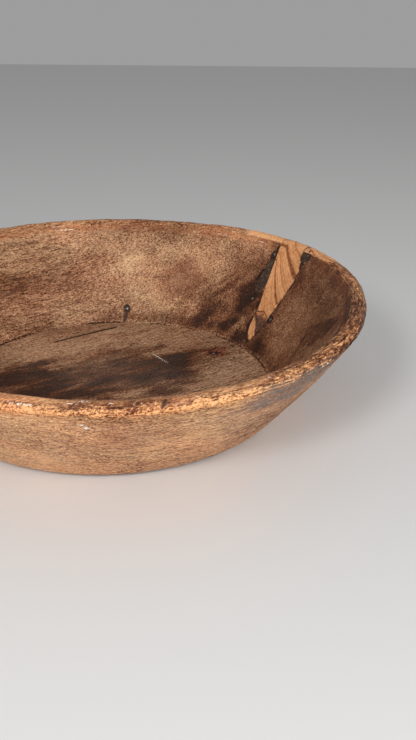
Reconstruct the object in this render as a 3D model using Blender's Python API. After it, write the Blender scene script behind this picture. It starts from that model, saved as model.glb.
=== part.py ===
"""Carved wooden bowl with a mended split in its wall.

The bowl is one block of wood, hollowed by hand, so its rim wanders a little from a true circle and a
level plane. A wedge of newer wood fills the split that ran down the wall at the end of the grain. A
small tip of the same wood, a plug and dark filler close the rest of the split, and iron nails hold it.

Units are metres and degrees. The origin is the middle of the flat base, +Z is up, and angles are
counted anticlockwise from +X.
"""

import math

import bmesh
import bpy
import numpy as np
from mathutils import Vector

# The bowl's section
RIM_RADIUS = 0.220
RIM_HEIGHT = 0.1002
LIP_RADIUS = 0.0081
BASE_RADIUS = 0.1368
BASE_EDGE_RADIUS = 0.0206
WALL_BULGE = 0.0017
FLOOR_RADIUS = 0.1386
FLOOR_HEIGHT = 0.0124
FLOOR_FLAT_RADIUS = 0.060
FLOOR_DISH = 0.0010
FLOOR_SLOPE_RADIUS = 0.105
FLOOR_SLOPE_HEIGHT = FLOOR_HEIGHT - FLOOR_DISH * 0.3
FLOOR_FILLET = 0.0050
WALL_TOP_RADIUS = 0.2049
WALL_TOP_HEIGHT = 0.0956
MIDDLE_SHARE = 0.6
SEGMENTS = 96

# How the hand-carved rim wanders: (waves round the rim, cosine part, sine part)
RADIUS_WAVES = ((2, -0.0045, 0.0003), (3, -0.0071, 0.0022), (4, -0.0040, 0.0073))
HEIGHT_WAVES = (
    (1, -0.00040, 0.00147),
    (2, 0.00040, 0.00055),
    (3, 0.00035, -0.00079),
    (4, -0.00066, 0.00011),
)

# The repair. An outline's points are (angle, share of the way up the inner wall).
GAP = 0.0003
THROUGH = 0.035
INLAY_DEPTH = 0.0055
SEAM_DEPTH = 0.0040
OVER_LIP = 1.28
PROUD = 0.015
OUTLINE_STEP = 0.004
TIP_SHOULDER = ((30.6, 0.155), (31.9, 0.180), (32.8, 0.230), (36.3, 0.315))
NOTCH = ((36.3, 0.345), (33.2, 0.375), (29.5, 0.325))
CHIP = ((30.8, 0.910), (32.3, 0.965), (32.3, 1.020))
SPLIT_EDGE = ((38.9, 0.600), (40.3, 0.800), (40.75, 0.860))
WEDGE = (
    *NOTCH,
    (28.9, 0.550),
    (28.7, 0.720),
    (29.1, 0.770),
    (29.3, 0.840),
    (30.2, 0.865),
    *CHIP,
    (33.0, OVER_LIP),
    (41.8, OVER_LIP),
    (41.5, 0.960),
    *reversed(SPLIT_EDGE),
)
TIP = (*TIP_SHOULDER, (36.0, 0.220), (35.0, 0.140), (32.2, 0.075), (31.2, 0.090))
PLUG = (*NOTCH, (29.0, 0.280), *TIP_SHOULDER)
LIP_FILLER = (*CHIP, (29.3, 1.020), (29.2, 0.955), (29.8, 0.910))
SEAM = (*SPLIT_EDGE, (42.0, 0.860), (42.6, 0.800), (42.8, 0.620), (42.4, 0.520), (40.6, 0.480))

# The slip let into the rim beside the wedge: (angle, depth of its seat, outer edge from the lip's crown)
SLIP = (
    (16.8, 0.0004, -0.0022),
    (20.3, 0.0017, -0.0019),
    (22.5, 0.0025, -0.0020),
    (25.5, 0.0029, 0.0010),
    (28.0, 0.0032, 0.0095),
    (31.0, 0.0036, 0.0095),
    (34.5, 0.0040, 0.0095),
)
SLIP_INNER_EDGE = -0.012
SLIP_HEADROOM = 0.008

# The nails
HEAD_RADIUS = 0.0017
HEAD_THICKNESS = 0.0008
SHANK_RADIUS = 0.0009
NAIL_LENGTH = 0.0085
NAIL_POINT = 0.0020
HEAD_SUNK = 0.0003
HEAD_STEP = 0.0001
COUNTERSINK_RADIUS = 0.0020
COUNTERSINK_HEADROOM = 0.0030
NAIL_SEGMENTS = 16
WALL_NAILS = {
    "patch_nail_upper": (41.9, 0.895),
    "patch_nail_lower": (41.3, 0.440),
    "patch_nail_tip": (28.2, 0.340),
    "wall_nail": (90.1, 0.140),
}
FLOOR_NAIL_PLACE = (0.0891, 0.0614)
RIM_NAIL_ANGLE = 30.4
RIM_NAIL_LEAN = 122.0

# Directions of the inner wall's section: up the wall, and out of the wood into the hollow
UP_WALL = Vector((WALL_TOP_RADIUS - FLOOR_RADIUS, WALL_TOP_HEIGHT - FLOOR_HEIGHT))
INTO_HOLLOW = Vector((-UP_WALL.y, UP_WALL.x)).normalized()


def wander(angle, waves):
    """Sum of the waves at an angle in radians."""
    return sum(c * math.cos(k * angle) + s * math.sin(k * angle) for k, c, s in waves)


def carve(radius, height, angle):
    """The point of the hand-carved bowl that stands for a true radius and height at an angle in radians."""
    share = height / RIM_HEIGHT
    radius = radius * (1 + wander(angle, RADIUS_WAVES) * share)
    height = height + wander(angle, HEIGHT_WAVES) * share**2
    return Vector((radius * math.cos(angle), radius * math.sin(angle), height))


def wall_point(degrees, share, out=0.0):
    """A point on the inner wall, or a distance out of it into the hollow; out is negative in the wood."""
    section = Vector((FLOOR_RADIUS, FLOOR_HEIGHT)) + UP_WALL * share + INTO_HOLLOW * out
    return carve(section.x, section.y, math.radians(degrees))


def lip_place(degrees, lean):
    """A point on the lip and the direction out of it, at a lean in degrees from level towards the hollow."""
    angle = math.radians(degrees)
    points = []
    for radius in (LIP_RADIUS, LIP_RADIUS * 2):
        out, up = radius * math.cos(math.radians(lean)), radius * math.sin(math.radians(lean))
        points.append(carve(RIM_RADIUS - LIP_RADIUS + out, RIM_HEIGHT - LIP_RADIUS + up, angle))
    return points[0], (points[1] - points[0]).normalized()


def arc(centre, radius, start, end, count):
    """Points (radius, height) along an arc of the section, with its angles in radians."""
    turns = np.linspace(start, end, count)
    return [(centre[0] + radius * math.cos(a), centre[1] + radius * math.sin(a)) for a in turns]


def section():
    """The bowl's section as (radius, height), from the base's middle over the lip to the floor's middle."""
    lip = (RIM_RADIUS - LIP_RADIUS, RIM_HEIGHT - LIP_RADIUS)
    lean = math.atan2(lip[1], RIM_RADIUS - BASE_RADIUS)
    edge = arc((BASE_RADIUS, BASE_EDGE_RADIUS), BASE_EDGE_RADIUS, -math.pi / 2, lean - math.pi / 2, 6)
    start, end = Vector(edge[-1]), Vector((RIM_RADIUS, lip[1]))
    bow = Vector((math.sin(lean), -math.cos(lean))) * WALL_BULGE
    outside = []
    for t in np.linspace(0, 1, 8)[1:-1]:
        outside.append(tuple(start.lerp(end, t) + bow * 4 * t * (1 - t)))
    inward = math.atan2(INTO_HOLLOW.y, INTO_HOLLOW.x)
    over_lip = arc(lip, LIP_RADIUS, 0, inward, 9)
    wall_angle = math.atan2(UP_WALL.y, UP_WALL.x)
    setback = FLOOR_FILLET * math.tan(wall_angle / 2)
    corner = Vector((FLOOR_RADIUS, FLOOR_HEIGHT))
    wall_foot = corner + UP_WALL.normalized() * setback
    fillet_centre = (FLOOR_RADIUS - setback, FLOOR_HEIGHT + FLOOR_FILLET)
    fillet = arc(fillet_centre, FLOOR_FILLET, wall_angle - math.pi / 2, -math.pi / 2, 4)
    inside = [tuple(Vector(over_lip[-1]).lerp(wall_foot, t)) for t in np.linspace(0, 1, 7)[1:-1]]
    dish = FLOOR_HEIGHT - FLOOR_DISH
    floor = [(FLOOR_SLOPE_RADIUS, FLOOR_SLOPE_HEIGHT), (FLOOR_FLAT_RADIUS, dish)]
    base = [(BASE_RADIUS * 0.5, 0.0)]
    return base + edge + outside + over_lip + inside + fillet + floor


def mesh_object(name, mesh_builder):
    """A new object whose mesh is made in a bmesh by mesh_builder, with its faces pointing out."""
    mesh = bpy.data.meshes.new(name)
    made = bpy.data.objects.new(name, mesh)
    bpy.context.scene.collection.objects.link(made)
    bm = bmesh.new()
    mesh_builder(bm)
    bmesh.ops.triangulate(bm, faces=bm.faces)
    bmesh.ops.recalc_face_normals(bm, faces=bm.faces)
    bm.to_mesh(mesh)
    bm.free()
    return made


def as_guide(made):
    """Marks an object as a cutter or a guide, which is no piece of the bowl."""
    made.hide_render = True
    made.display_type = "WIRE"
    return made


def boolean(made, operation, other):
    """Adds a Boolean with another object."""
    modifier = made.modifiers.new(f"{operation.lower()}_{other.name}", "BOOLEAN")
    modifier.operation = operation
    modifier.solver = "EXACT"
    modifier.object = other


def turned(bm, profile, place, count):
    """Skins the rings of count points that place(radius, height, angle) gives, and closes both ends.

    The end rings close on a point in the middle of the ring, at the same height.
    """
    angles = [2 * math.pi * i / count for i in range(count)]
    rings = [[bm.verts.new(place(r, h, a)) for a in angles] for r, h in profile]
    for low, high in zip(rings, rings[1:]):
        for i in range(count):
            j = (i + 1) % count
            bm.faces.new((low[i], low[j], high[j], high[i]))
    for ring, height in ((rings[0], profile[0][1]), (rings[-1], profile[-1][1])):
        middle = bm.verts.new(place(0.0, height, 0.0))
        for i in range(count):
            bm.faces.new((ring[i], ring[(i + 1) % count], middle))


def stretch(outline, grow):
    """An outline in (angle, share) moved out by a distance in metres, its corners along their bisectors.

    The outline is scaled to metres on the wall first, so the move is the same on every side.
    """
    middle_radius = FLOOR_RADIUS + UP_WALL.x * MIDDLE_SHARE
    scale = np.array([math.radians(middle_radius), UP_WALL.length])
    flat = np.array(outline) * scale
    area = np.sum(flat[:, 0] * np.roll(flat[:, 1], -1) - np.roll(flat[:, 0], -1) * flat[:, 1])
    before = flat - np.roll(flat, 1, axis=0)
    after = np.roll(flat, -1, axis=0) - flat
    before /= np.linalg.norm(before, axis=1)[:, None]
    after /= np.linalg.norm(after, axis=1)[:, None]
    turn = math.copysign(1.0, area)
    side_before = np.stack([before[:, 1], -before[:, 0]], axis=1) * turn
    side_after = np.stack([after[:, 1], -after[:, 0]], axis=1) * turn
    bisector = side_before + side_after
    bisector /= np.sum(bisector * side_before, axis=1)[:, None]
    return (flat + bisector * grow) / scale


def divided(outline):
    """The outline with points added, so that each side follows the wall's curve."""
    points = []
    for here, there in zip(outline, np.roll(outline, -1, axis=0)):
        reach = (wall_point(*there) - wall_point(*here)).length
        steps = max(1, math.ceil(reach / OUTLINE_STEP))
        points += [here + (there - here) * k / steps for k in range(steps)]
    return points


def prism(name, outline, grow, depth):
    """A prism that stands square to the wall, from above its face to a depth in the wood."""

    def build(bm):
        points = divided(stretch(outline, grow))
        inner = [bm.verts.new(wall_point(a, s, PROUD)) for a, s in points]
        outer = [bm.verts.new(wall_point(a, s, -depth)) for a, s in points]
        bm.faces.new(inner)
        bm.faces.new(list(reversed(outer)))
        for i in range(len(points)):
            j = (i + 1) % len(points)
            bm.faces.new((inner[j], inner[i], outer[i], outer[j]))

    return mesh_object(name, build)


def let_in(name, outline, depth, blank, body):
    """A piece let into the wall, with a gap all round, and the pocket that holds it.

    The piece is the part of the uncut bowl inside its prism.
    """
    piece = prism(name, outline, -GAP / 2, depth)
    boolean(piece, "INTERSECT", blank)
    pocket = as_guide(prism(f"{name}_pocket", outline, GAP / 2, depth + GAP))
    boolean(body, "DIFFERENCE", pocket)
    return piece, pocket


def slip(name, grow):
    """The bar that the rim slip is cut to. It follows the lip, and its seat rises to nothing at one end."""

    def build(bm):
        stations = []
        for angle, depth, outer in SLIP:
            angle += math.copysign(math.degrees(grow / RIM_RADIUS), angle - SLIP[1][0])
            low, high = RIM_HEIGHT - depth - grow, RIM_HEIGHT + SLIP_HEADROOM
            crown = RIM_RADIUS - LIP_RADIUS
            near, far = crown + SLIP_INNER_EDGE - grow, crown + outer + grow
            corners = ((near, low), (far, low), (far, high), (near, high))
            stations.append([bm.verts.new(carve(r, h, math.radians(angle))) for r, h in corners])
        bm.faces.new(stations[0])
        bm.faces.new(list(reversed(stations[-1])))
        for here, there in zip(stations, stations[1:]):
            for i in range(4):
                j = (i + 1) % 4
                bm.faces.new((here[i], here[j], there[j], there[i]))

    return mesh_object(name, build)


def nail(name, middle, axis, *holed):
    """A small iron nail and its countersunk holes. middle is on the wood's face; axis points out of it."""
    under = -HEAD_SUNK - HEAD_THICKNESS
    end = -HEAD_SUNK - NAIL_LENGTH
    side = axis.orthogonal().normalized()
    across = axis.cross(side)

    def place(radius, height, angle):
        return middle + axis * height + (side * math.cos(angle) + across * math.sin(angle)) * radius

    solid = [
        (HEAD_RADIUS * 0.7, -HEAD_SUNK),
        (HEAD_RADIUS, -HEAD_SUNK - HEAD_THICKNESS * 0.35),
        (HEAD_RADIUS, under),
        (SHANK_RADIUS, under - HEAD_STEP),
        (SHANK_RADIUS, end + NAIL_POINT),
        (SHANK_RADIUS * 0.25, end),
    ]
    hole = [
        (COUNTERSINK_RADIUS, COUNTERSINK_HEADROOM),
        (COUNTERSINK_RADIUS, under - GAP),
        (SHANK_RADIUS + GAP, under - GAP - HEAD_STEP),
        (SHANK_RADIUS + GAP, end - GAP),
    ]
    made = mesh_object(name, lambda bm: turned(bm, solid, place, NAIL_SEGMENTS))
    cutter = as_guide(mesh_object(f"{name}_hole", lambda bm: turned(bm, hole, place, NAIL_SEGMENTS)))
    for piece in holed:
        boolean(piece, "DIFFERENCE", cutter)
    return made


def finish(name, colour, roughness, metallic=0.0):
    """A plain material."""
    material = bpy.data.materials.new(name)
    material.use_nodes = True
    shader = material.node_tree.nodes["Principled BSDF"]
    shader.inputs["Base Color"].default_value = (*colour, 1.0)
    shader.inputs["Roughness"].default_value = roughness
    shader.inputs["Metallic"].default_value = metallic
    material.diffuse_color = (*colour, 1.0)
    return material


def dress(made, material):
    """Gives a piece its material and smooth round faces."""
    made.data.materials.append(material)
    made.data.shade_smooth()
    made.data.set_sharp_from_angle(angle=math.radians(35))


def build_bowl():
    """The bowl and every piece of its repair."""
    for old in list(bpy.data.objects):
        bpy.data.objects.remove(old)
    rings = section()
    body = mesh_object("bowl_body", lambda bm: turned(bm, rings, carve, SEGMENTS))
    blank = as_guide(mesh_object("uncut_bowl", lambda bm: turned(bm, rings, carve, SEGMENTS)))
    dress(body, finish("old_wood", (0.36, 0.21, 0.12), 0.55))

    new_wood = finish("new_wood", (0.60, 0.34, 0.17), 0.60)
    filler = finish("dark_filler", (0.09, 0.07, 0.055), 0.70)
    wedge, wedge_pocket = let_in("wedge_patch", WEDGE, THROUGH, blank, body)
    tip, _ = let_in("patch_tip", TIP, INLAY_DEPTH, blank, body)
    plug, _ = let_in("notch_plug", PLUG, INLAY_DEPTH, blank, body)
    chip_fill, _ = let_in("lip_filler", LIP_FILLER, INLAY_DEPTH, blank, body)
    seam_fill, _ = let_in("seam_filler", SEAM, SEAM_DEPTH, blank, body)
    rim_slip = slip("rim_slip", 0)
    boolean(rim_slip, "INTERSECT", blank)
    boolean(rim_slip, "DIFFERENCE", wedge_pocket)
    slip_seat = as_guide(slip("rim_slip_seat", GAP))
    for piece in (body, chip_fill):
        boolean(piece, "DIFFERENCE", slip_seat)
    for piece in (wedge, tip, rim_slip):
        dress(piece, new_wood)
    for piece in (chip_fill, seam_fill):
        dress(piece, filler)
    dress(plug, finish("red_plug", (0.20, 0.10, 0.06), 0.5))

    iron = finish("old_iron", (0.22, 0.19, 0.17), 0.55, metallic=0.8)
    for name, (degrees, share) in WALL_NAILS.items():
        middle = wall_point(degrees, share)
        axis = (wall_point(degrees, share, PROUD) - middle).normalized()
        dress(nail(name, middle, axis, body), iron)
    floor_nail_middle = Vector((*FLOOR_NAIL_PLACE, FLOOR_SLOPE_HEIGHT))
    dress(nail("floor_nail", floor_nail_middle, Vector((0, 0, 1)), body), iron)
    dress(nail("rim_nail", *lip_place(RIM_NAIL_ANGLE, RIM_NAIL_LEAN), body, rim_slip, chip_fill), iron)


build_bowl()
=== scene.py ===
"""A large carved wooden bowl with a mended split in its wall.

The script follows the bowl as it was made and mended: the block is carved, the split is cut out and
filled with newer wood, the gaps are stopped with dark filler, and iron nails hold it all. Units are
metres and degrees, +Z is up, and angles are counted anticlockwise from +X.
"""

import math

import bpy
import numpy as np
from mathutils import Matrix, Vector


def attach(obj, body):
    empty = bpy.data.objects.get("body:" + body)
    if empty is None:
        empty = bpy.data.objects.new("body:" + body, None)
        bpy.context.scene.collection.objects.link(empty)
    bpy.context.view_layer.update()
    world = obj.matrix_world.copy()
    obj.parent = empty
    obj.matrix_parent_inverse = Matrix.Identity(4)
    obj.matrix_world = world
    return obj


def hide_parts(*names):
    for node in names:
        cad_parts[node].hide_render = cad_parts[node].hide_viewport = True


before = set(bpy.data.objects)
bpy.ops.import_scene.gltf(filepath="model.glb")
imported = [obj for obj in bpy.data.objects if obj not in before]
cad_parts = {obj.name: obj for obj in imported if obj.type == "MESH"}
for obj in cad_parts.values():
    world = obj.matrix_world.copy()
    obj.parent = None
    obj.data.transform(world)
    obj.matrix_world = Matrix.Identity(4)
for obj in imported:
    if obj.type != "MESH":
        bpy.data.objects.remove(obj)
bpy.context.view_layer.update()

# The block. The bowl is carved from one piece of tropical hardwood, hollowed and rounded by hand, so
# the rim wanders a little from a circle and from level. The wall is about 15 mm thick and its lip is
# rounded over. The dimensions are those of the solid model.
RIM_RADIUS = 0.220
RIM_HEIGHT = 0.1002
LIP_RADIUS = 0.0081
BASE_RADIUS = 0.1368
BASE_EDGE_RADIUS = 0.0206
WALL_BULGE = 0.0017
FLOOR_RADIUS = 0.1386
FLOOR_HEIGHT = 0.0124
FLOOR_DISH = 0.0010
WALL_TOP_RADIUS = 0.2049
WALL_TOP_HEIGHT = 0.0956
RADIUS_WAVES = ((2, -0.0045, 0.0003), (3, -0.0071, 0.0022), (4, -0.0040, 0.0073))
HEIGHT_WAVES = (
    (1, -0.00040, 0.00147),
    (2, 0.00040, 0.00055),
    (3, 0.00035, -0.00079),
    (4, -0.00066, 0.00011),
)
GRAIN_ANGLE = 35
SKIN = 0.0002
MENDED_FROM, MENDED_TO = 12, 60
FINE_COLUMNS, COARSE_COLUMNS = 128, 332
TOOL_MARKS, FINE_TOOL_MARKS = 0.00026, 0.00010
TORN_FIBRES, WORN_HOLLOWS = 0.00022, 0.0006
SMALLEST_RING = 0.004
RIPPLE_WAVES = 24

lip_middle = np.array([RIM_RADIUS - LIP_RADIUS, RIM_HEIGHT - LIP_RADIUS])
wall_foot = np.array([FLOOR_RADIUS, FLOOR_HEIGHT])
wall_rise = np.array([WALL_TOP_RADIUS, WALL_TOP_HEIGHT]) - wall_foot
wall_length = np.hypot(*wall_rise)
into_hollow = np.array([-wall_rise[1], wall_rise[0]]) / wall_length


def wander(angle, waves):
    """The sum of cosine and sine waves round the rim, at angles in radians."""
    return sum(c * np.cos(k * angle) + s * np.sin(k * angle) for k, c, s in waves)


def carve(radius, height, angle):
    """Points of the hand-carved bowl: the radius and height of the true section, each changed by its wave.

    The change grows with the share of the bowl's height, and for the height with its square.
    """
    share = height / RIM_HEIGHT
    radius = radius * (1 + wander(angle, RADIUS_WAVES) * share)
    height = height + wander(angle, HEIGHT_WAVES) * share**2
    return np.stack([radius * np.cos(angle), radius * np.sin(angle), height + 0 * angle], axis=-1)


def true_section(points):
    """The angle, radius and height that carve would turn into these points."""
    angle = np.arctan2(points[..., 1], points[..., 0])
    share = points[..., 2] / RIM_HEIGHT
    height = points[..., 2] - wander(angle, HEIGHT_WAVES) * share**2
    share = height / RIM_HEIGHT
    radius = np.hypot(points[..., 0], points[..., 1]) / (1 + wander(angle, RADIUS_WAVES) * share)
    return angle, radius, height


def ripple(points, wavelength, seed, stretch=(1, 1, 1)):
    """A smooth random field of about plus and minus 1: plane waves of random directions and phases, summed.

    The field is stretched along the grain's axes: along it, level across it, and up.
    """
    random = np.random.default_rng(seed)
    directions = random.normal(size=(RIPPLE_WAVES, 3))
    directions /= np.linalg.norm(directions, axis=1)[:, None]
    pace = 2 * math.pi / (wavelength * random.uniform(0.7, 1.6, RIPPLE_WAVES))
    phases = random.uniform(0, 2 * math.pi, RIPPLE_WAVES)
    turn = math.radians(GRAIN_ANGLE)
    along = points[..., 0] * math.cos(turn) + points[..., 1] * math.sin(turn)
    across = points[..., 1] * math.cos(turn) - points[..., 0] * math.sin(turn)
    grain = np.stack([along, across, points[..., 2]], axis=-1) / np.array(stretch)
    return np.sin(grain @ (directions * pace[:, None]).T + phases).sum(axis=-1) / math.sqrt(RIPPLE_WAVES / 2)


def swell(points, wavelength, seed, stretch=(1, 1, 1)):
    """A ripple kept between 0 and 2, for relief that only goes into the wood."""
    return np.clip(1 + ripple(points, wavelength, seed, stretch), 0, 2)


def ease(value, low, high):
    """A smooth step from 0 at low to 1 at high."""
    t = np.clip((value - low) / (high - low), 0, 1)
    return t * t * (3 - 2 * t)


def arc(centre, radius, start, end, count):
    """Points (radius, height) along an arc of the section, from start to end in radians."""
    turns = np.linspace(start, end, count)
    return centre + radius * np.stack([np.cos(turns), np.sin(turns)], axis=1)


def line(start, end, count):
    """Evenly spaced points from start to just before end."""
    share = np.linspace(0, 1, count, endpoint=False)
    return np.array(start) + (np.array(end) - np.array(start)) * share[:, None]


def bowl_section():
    """The section as (radius, height), from the base's middle over the lip to the floor's middle."""
    lean = math.atan2(lip_middle[1], RIM_RADIUS - BASE_RADIUS)
    inward = math.atan2(into_hollow[1], into_hollow[0])
    base = line((SMALLEST_RING, 0), (BASE_RADIUS, 0), 16)
    edge_middle = np.array([BASE_RADIUS, BASE_EDGE_RADIUS])
    edge = arc(edge_middle, BASE_EDGE_RADIUS, -math.pi / 2, lean - math.pi / 2, 9)
    outside = line(edge[-1], (RIM_RADIUS, lip_middle[1]), 46)[1:]
    t = np.linspace(0, 1, 46, endpoint=False)[1:, None]
    outside += np.array([math.sin(lean), -math.cos(lean)]) * WALL_BULGE * 4 * t * (1 - t)
    lip = arc(lip_middle, LIP_RADIUS, 0, inward, 26)
    inside = line(lip[-1], wall_foot - [-0.0004, -0.0005], 74)[1:]
    corner = wall_foot + np.array([[0.0004, 0.0004], [-0.0006, 0.0], [-0.0022, -0.0001]])
    share = np.linspace(1, 0, 30)[1:] ** 0.9
    reach = SMALLEST_RING + (FLOOR_RADIUS - 0.0065) * share
    floor = np.stack([reach, FLOOR_HEIGHT - FLOOR_DISH * (1 - (reach / FLOOR_RADIUS) ** 2)], axis=1)
    return np.concatenate([base, edge, outside, lip, inside, corner, floor])


def carved_surface(section, angles):
    """The block's surface, one row for each point of the section and one column for each angle.

    Every point moves into the wood, along the section's normal, by the skin that keeps the surface
    inside the solid model, by shallow tool marks, and on the lip by worn hollows and torn fibres.
    """
    tangent = np.gradient(section, axis=0)
    normal = np.stack([tangent[:, 1], -tangent[:, 0]], axis=1)
    normal /= np.linalg.norm(normal, axis=1)[:, None]
    radius, height = section[:, :1], section[:, 1:]
    points = carve(radius, height, angles[None, :])
    standing = ease(height, 0.000, 0.010)
    scoops = TOOL_MARKS * swell(points, 0.034, 1) + FINE_TOOL_MARKS * swell(points, 0.011, 2)
    rim = ease(np.hypot(radius - lip_middle[0], height - lip_middle[1]), 0.0145, 0.0090)
    front = ease(np.cos(angles + math.radians(85)), -0.1, 0.7) * ease(radius, 0.206, 0.213)
    torn = TORN_FIBRES * swell(points, 0.0045, 3, (3, 1, 1)) * (0.25 + front)
    hollows = WORN_HOLLOWS * ease(ripple(points, 0.013, 4, (2, 1, 1)), 0.5, 1.8) * (0.1 + front)
    depth = SKIN + scoops * standing + rim * (torn + hollows)
    return carve(radius - normal[:, :1] * depth, height - normal[:, 1:] * depth, angles[None, :])


def solid(name, points, faces):
    """A piece with these points and faces, put in the scene."""
    mesh = bpy.data.meshes.new(name)
    mesh.from_pydata(points.tolist(), [], faces)
    mesh.update()
    piece = bpy.data.objects.new(name, mesh)
    bpy.context.scene.collection.objects.link(piece)
    return piece


def shell(name, surface):
    """A closed mesh from rows of points that run all the way round, with a point to close each end row."""
    rows, columns = surface.shape[:2]
    ends = surface[[0, -1]].mean(axis=1)
    points = np.concatenate([surface.reshape(-1, 3), ends])
    here = np.arange(rows * columns).reshape(rows, columns)
    there = np.roll(here, -1, axis=1)
    quads = np.stack([here[:-1], there[:-1], there[1:], here[1:]], axis=-1).reshape(-1, 4)
    first, last = rows * columns, rows * columns + 1
    bottom = np.stack([there[0], here[0], np.full(columns, first)], axis=1)
    top = np.stack([here[-1], there[-1], np.full(columns, last)], axis=1)
    return solid(name, points, quads.tolist() + bottom.tolist() + top.tolist())


def joined(piece, operation, others):
    """Cuts or intersects a piece with others, one by one, and keeps the result as its mesh."""
    for other in others:
        modifier = piece.modifiers.new(other.name, "BOOLEAN")
        modifier.operation = operation
        modifier.solver = "MANIFOLD"
        modifier.object = other
    graph = bpy.context.evaluated_depsgraph_get()
    made = bpy.data.meshes.new_from_object(piece.evaluated_get(graph))
    piece.modifiers.clear()
    piece.data = made
    return piece


angles = np.radians(
    np.concatenate(
        [
            np.linspace(MENDED_FROM, MENDED_TO, FINE_COLUMNS, endpoint=False),
            np.linspace(MENDED_TO, MENDED_FROM + 360, COARSE_COLUMNS, endpoint=False),
        ]
    )
)
surface = carved_surface(bowl_section(), angles)
bowl = shell("carved_block", surface)
uncut = shell("uncut_block", surface)

# The mend. The wall had split where the grain ends, so a wedge was sawn out of it, lip and all, and newer,
# paler wood glued in. A sliver of that wood, a red plug, a slip along the rim and dark filler close the
# rest. Outline points are (angle, share of the way up the inner wall).
JOINT = 0.0002
CHAMFER = 0.0004
THROUGH = 0.030
INLAY_DEPTH = 0.0050
SEAM_DEPTH = 0.0036
ABOVE_WALL = 0.015
JUST_OUT = 0.0002
MIDDLE_SHARE = 0.6
OUTLINE_STEP = 0.0025
OVER_LIP = 1.28
TIP_SHOULDER = ((30.6, 0.155), (31.9, 0.180), (32.8, 0.230), (36.3, 0.315))
NOTCH = ((36.3, 0.345), (33.2, 0.375), (29.5, 0.325))
CHIP = ((30.8, 0.910), (32.3, 0.965), (32.3, 1.020))
SPLIT_EDGE = ((38.9, 0.600), (40.3, 0.800), (40.75, 0.860))
WEDGE = (
    *NOTCH,
    (28.9, 0.550),
    (28.7, 0.720),
    (29.1, 0.770),
    (29.3, 0.840),
    (30.2, 0.865),
    *CHIP,
    (33.0, OVER_LIP),
    (41.8, OVER_LIP),
    (41.5, 0.960),
    *reversed(SPLIT_EDGE),
)
TIP = (*TIP_SHOULDER, (36.0, 0.220), (35.0, 0.140), (32.2, 0.075), (31.2, 0.090))
PLUG = (*NOTCH, (29.0, 0.280), *TIP_SHOULDER)
LIP_FILLER = (*CHIP, (29.3, 1.020), (29.2, 0.955), (29.8, 0.910))
SEAM = (*SPLIT_EDGE, (42.0, 0.860), (42.6, 0.800), (42.8, 0.620), (42.4, 0.520), (40.6, 0.480))
SLIP = (
    (16.8, 0.0004, -0.0022),
    (20.3, 0.0017, -0.0019),
    (22.5, 0.0025, -0.0020),
    (25.5, 0.0029, 0.0010),
    (28.0, 0.0032, 0.0095),
    (31.0, 0.0036, 0.0095),
    (34.5, 0.0040, 0.0095),
)
SLIP_INNER_EDGE = -0.012
SLIP_HEADROOM = 0.008

# Metres on the wall for one degree round it, at the wedge's middle, and for the whole way up it.
wall_scale = np.array([math.radians(wall_foot[0] + wall_rise[0] * MIDDLE_SHARE), wall_length])


def wall_points(outline, out):
    """Points on the inner wall for rows of (angle, share), a distance out of it into the hollow."""
    section = wall_foot + wall_rise * outline[:, 1:] + into_hollow * out
    return carve(section[:, 0], section[:, 1], np.radians(outline[:, 0]))


def grown(outline, distance):
    """An outline in (angle, share) moved out by a distance in metres, its corners along their bisectors."""
    flat = np.array(outline) * wall_scale
    following = np.roll(flat, -1, axis=0)
    turn = np.sign(np.sum(flat[:, 0] * following[:, 1] - following[:, 0] * flat[:, 1]))
    side = (following - flat)[:, ::-1] * [turn, -turn]
    side /= np.linalg.norm(side, axis=1)[:, None]
    before = np.roll(side, 1, axis=0)
    bisector = (side + before) / (1 + np.sum(side * before, axis=1))[:, None]
    return (flat + bisector * distance) / wall_scale


def stepped(outline):
    """The outline with points added along its sides, no further apart than the outline's step."""
    ends = np.roll(outline, -1, axis=0)
    reach = np.linalg.norm(wall_points(ends, 0) - wall_points(outline, 0), axis=1)
    steps = np.maximum(1, np.ceil(reach / OUTLINE_STEP)).astype(int)
    sides = [a + (b - a) * (np.arange(n) / n)[:, None] for a, b, n in zip(outline, ends, steps)]
    return np.concatenate(sides)


def prism(name, outline, levels):
    """A closed prism through rings of the outline: levels are (distance out of the wall, growth).

    The rings are joined by quads, and each end is one face.
    """
    plan = stepped(np.array(outline))
    rings = np.stack([wall_points(grown(plan, growth), out) for out, growth in levels])
    count, columns = rings.shape[:2]
    here = np.arange(count * columns).reshape(count, columns)
    there = np.roll(here, -1, axis=1)
    quads = np.stack([here[:-1], there[:-1], there[1:], here[1:]], axis=-1).reshape(-1, 4)
    faces = [here[0][::-1].tolist(), here[-1].tolist(), *quads.tolist()]
    made = solid(name, rings.reshape(-1, 3), faces)
    turn_outward(made.data)
    return made


def turn_outward(mesh):
    """Turns every face of a closed mesh round if the mesh is inside out."""
    mesh.calc_loop_triangles()
    corners = np.empty(len(mesh.loop_triangles) * 3, np.int32)
    mesh.loop_triangles.foreach_get("vertices", corners)
    points = np.empty(len(mesh.vertices) * 3)
    mesh.vertices.foreach_get("co", points)
    if np.linalg.det(points.reshape(-1, 3)[corners.reshape(-1, 3)]).sum() < 0:
        mesh.flip_normals()


def bar(name, lines):
    """A closed bar between four lines of points that run side by side, one after another round it."""
    columns = lines.shape[1]
    here = np.arange(4 * columns).reshape(4, columns)
    there = np.roll(here, -1, axis=0)
    quads = np.stack([here[:, :-1], there[:, :-1], there[:, 1:], here[:, 1:]], axis=-1).reshape(-1, 4)
    faces = [*quads.tolist(), here[::-1, 0].tolist(), here[:, -1].tolist()]
    made = solid(name, lines.reshape(-1, 3), faces)
    turn_outward(made.data)
    return made


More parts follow.
